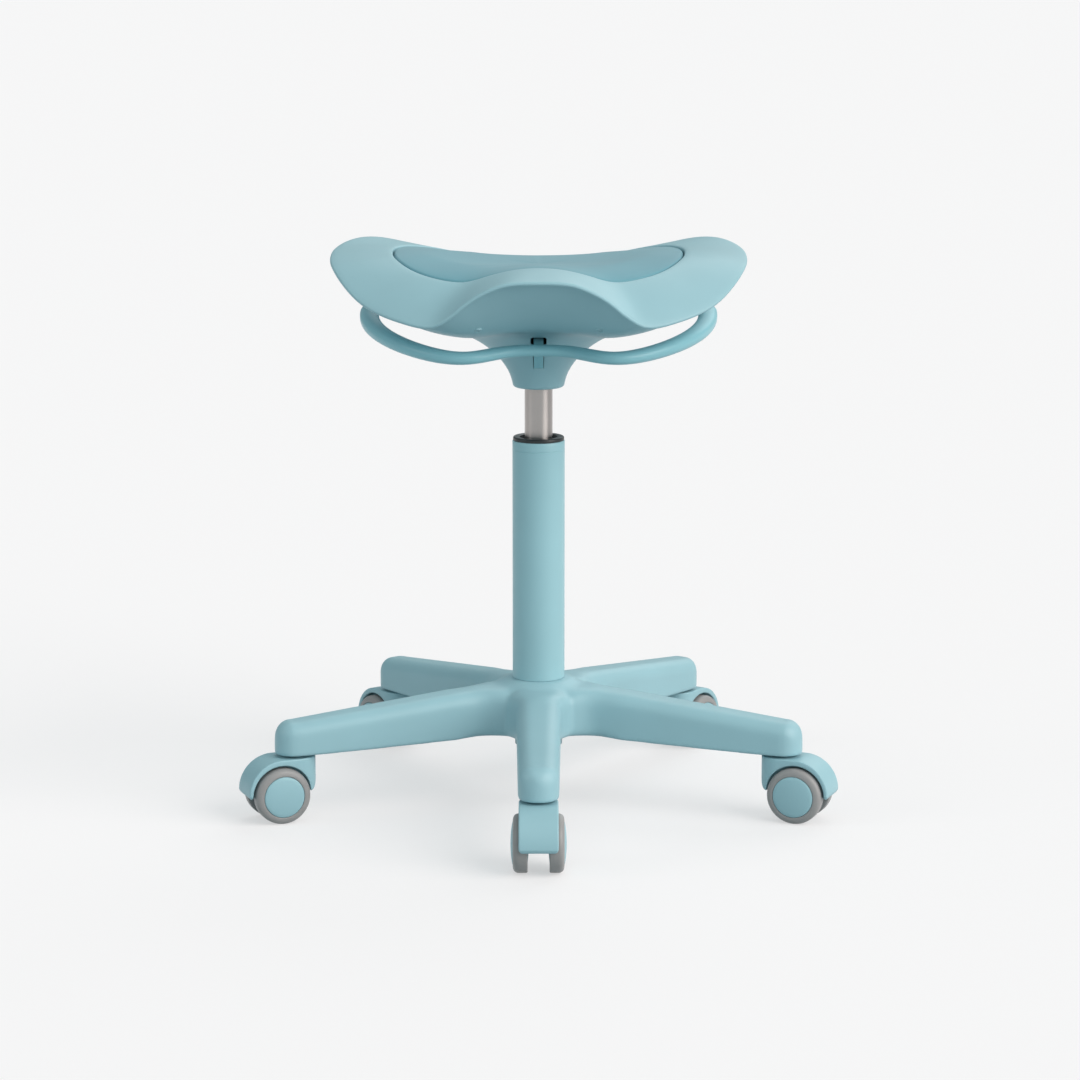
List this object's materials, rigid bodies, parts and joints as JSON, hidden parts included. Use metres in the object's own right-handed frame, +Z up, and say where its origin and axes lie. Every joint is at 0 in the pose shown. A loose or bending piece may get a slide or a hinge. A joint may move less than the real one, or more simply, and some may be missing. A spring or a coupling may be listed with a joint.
{
  "type": "saddle stool",
  "caption": "Height-adjustable saddle stool: moulded saddle seat with inset pad, ring-shaped height lever, gas column and star base on twin-wheel casters.",
  "frame": {"origin": "on the floor, under the column's axis", "axes": "+Z up along the column; -Y to the seat's front, which is its raised, narrow-arched edge; +X to the right seen from the front"},
  "size_m": [0.587, 0.5583, 0.5527],
  "materials": {
    "painted_shell": "fine satin pastel blue-turquoise",
    "pad": "matte, slightly deeper blue than the shell",
    "coated_tube": "satin powder coat, pastel blue-turquoise",
    "bright_steel": "ground and polished steel",
    "dark_plastic": "near-black matte",
    "damper_rubber": "matte black",
    "tread": "warm grey, semi-matte"
  },
  "bodies": {
    "base": {"star_base": "painted_shell", "column_tube": "coated_tube", "guide_bush": "dark_plastic", "thrust_bearing": "bright_steel", "caster_stem_1": "bright_steel", "caster_stem_2": "bright_steel", "caster_stem_3": "bright_steel", "caster_stem_4": "bright_steel", "caster_stem_5": "bright_steel"},
    "rod": {"piston_rod": "bright_steel", "rod_clip": "bright_steel", "rubber_damper": "damper_rubber"},
    "seat": {"gas_cylinder": "bright_steel", "rod_bush": "dark_plastic", "seat_mount": "bright_steel", "seat_shell": "painted_shell", "seat_pad": "pad", "under_shell": "painted_shell", "lever_pin": "bright_steel", "mount_screw_front_left": "bright_steel", "mount_screw_front_right": "bright_steel", "mount_screw_rear_left": "bright_steel", "mount_screw_rear_right": "bright_steel", "cover_screw_front_left": "bright_steel", "cover_screw_front_right": "bright_steel", "cover_screw_rear_left": "bright_steel", "cover_screw_rear_right": "bright_steel"},
    "lever": {"handle_ring": "painted_shell"},
    "button": {"release_button": "bright_steel"},
    "caster_1": {"caster_hood_1": "painted_shell", "caster_axle_1": "bright_steel"},
    "wheel_1_left": {"wheel_1_left": "painted_shell", "tyre_1_left": "tread"},
    "wheel_1_right": {"wheel_1_right": "painted_shell", "tyre_1_right": "tread"},
    "caster_2": {"caster_hood_2": "painted_shell", "caster_axle_2": "bright_steel"},
    "wheel_2_left": {"wheel_2_left": "painted_shell", "tyre_2_left": "tread"},
    "wheel_2_right": {"wheel_2_right": "painted_shell", "tyre_2_right": "tread"},
    "caster_3": {"caster_hood_3": "painted_shell", "caster_axle_3": "bright_steel"},
    "wheel_3_left": {"wheel_3_left": "painted_shell", "tyre_3_left": "tread"},
    "wheel_3_right": {"wheel_3_right": "painted_shell", "tyre_3_right": "tread"},
    "caster_4": {"caster_hood_4": "painted_shell", "caster_axle_4": "bright_steel"},
    "wheel_4_left": {"wheel_4_left": "painted_shell", "tyre_4_left": "tread"},
    "wheel_4_right": {"wheel_4_right": "painted_shell", "tyre_4_right": "tread"},
    "caster_5": {"caster_hood_5": "painted_shell", "caster_axle_5": "bright_steel"},
    "wheel_5_left": {"wheel_5_left": "painted_shell", "tyre_5_left": "tread"},
    "wheel_5_right": {"wheel_5_right": "painted_shell", "tyre_5_right": "tread"}
  },
  "joints": [
    {"name": "seat_swivel", "type": "hinge", "parent": "base", "child": "rod", "pos_m": [0, 0, 0], "axis": [0, 0, 1], "continuous": true},
    {"name": "seat_height", "type": "slide", "parent": "rod", "child": "seat", "axis": [0, 0, 1], "range_m": [-0.022, 0.163]},
    {"name": "lever_lift", "type": "hinge", "parent": "seat", "child": "lever", "pos_m": [0, -0.027, 0.473], "axis": [-1, 0, 0], "range_deg": [0, 5], "stiffness_Nm_per_rad": 3, "springref_deg": -11.46},
    {"name": "button_press", "type": "slide", "parent": "seat", "child": "button", "axis": [0, 0, -1], "range_m": [0, 0.0025]},
    {"name": "caster_swivel_1", "type": "hinge", "parent": "base", "child": "caster_1", "pos_m": [0, -0.2508, 0.0628], "axis": [0, 0, 1], "continuous": true},
    {"name": "wheel_spin_1_left", "type": "hinge", "parent": "caster_1", "child": "wheel_1_left", "pos_m": [0, -0.269, 0.0275], "axis": [1, 0, 0], "continuous": true},
    {"name": "wheel_spin_1_right", "type": "hinge", "parent": "caster_1", "child": "wheel_1_right", "pos_m": [0, -0.269, 0.0275], "axis": [1, 0, 0], "continuous": true},
    {"name": "caster_swivel_2", "type": "hinge", "parent": "base", "child": "caster_2", "pos_m": [0.23852, -0.0775, 0.0628], "axis": [0, 0, 1], "continuous": true},
    {"name": "wheel_spin_2_left", "type": "hinge", "parent": "caster_2", "child": "wheel_2_left", "pos_m": [0.2554, -0.08432, 0.0275], "axis": [0.3746, 0.9272, 0], "continuous": true},
    {"name": "wheel_spin_2_right", "type": "hinge", "parent": "caster_2", "child": "wheel_2_right", "pos_m": [0.2554, -0.08432, 0.0275], "axis": [0.3746, 0.9272, 0], "continuous": true},
    {"name": "caster_swivel_3", "type": "hinge", "parent": "base", "child": "caster_3", "pos_m": [0.14742, 0.2029, 0.0628], "axis": [0, 0, 1], "continuous": true},
    {"name": "wheel_spin_3_left", "type": "hinge", "parent": "caster_3", "child": "wheel_3_left", "pos_m": [0.15811, 0.21763, 0.0275], "axis": [-0.809, 0.5878, 0], "continuous": true},
    {"name": "wheel_spin_3_right", "type": "hinge", "parent": "caster_3", "child": "wheel_3_right", "pos_m": [0.15811, 0.21763, 0.0275], "axis": [-0.809, 0.5878, 0], "continuous": true},
    {"name": "caster_swivel_4", "type": "hinge", "parent": "base", "child": "caster_4", "pos_m": [-0.14742, 0.2029, 0.0628], "axis": [0, 0, 1], "continuous": true},
    {"name": "wheel_spin_4_left", "type": "hinge", "parent": "caster_4", "child": "wheel_4_left", "pos_m": [-0.15811, 0.21763, 0.0275], "axis": [-0.809, -0.5878, 0], "continuous": true},
    {"name": "wheel_spin_4_right", "type": "hinge", "parent": "caster_4", "child": "wheel_4_right", "pos_m": [-0.15811, 0.21763, 0.0275], "axis": [-0.809, -0.5878, 0], "continuous": true},
    {"name": "caster_swivel_5", "type": "hinge", "parent": "base", "child": "caster_5", "pos_m": [-0.23852, -0.0775, 0.0628], "axis": [0, 0, 1], "continuous": true},
    {"name": "wheel_spin_5_left", "type": "hinge", "parent": "caster_5", "child": "wheel_5_left", "pos_m": [-0.2554, -0.08432, 0.0275], "axis": [0.3746, -0.9272, 0], "continuous": true},
    {"name": "wheel_spin_5_right", "type": "hinge", "parent": "caster_5", "child": "wheel_5_right", "pos_m": [-0.2554, -0.08432, 0.0275], "axis": [0.3746, -0.9272, 0], "continuous": true}
  ],
  "couplings": [
    {"joint": "button_press", "follows": "lever_lift", "m_per_rad": 0.0285}
  ]
}
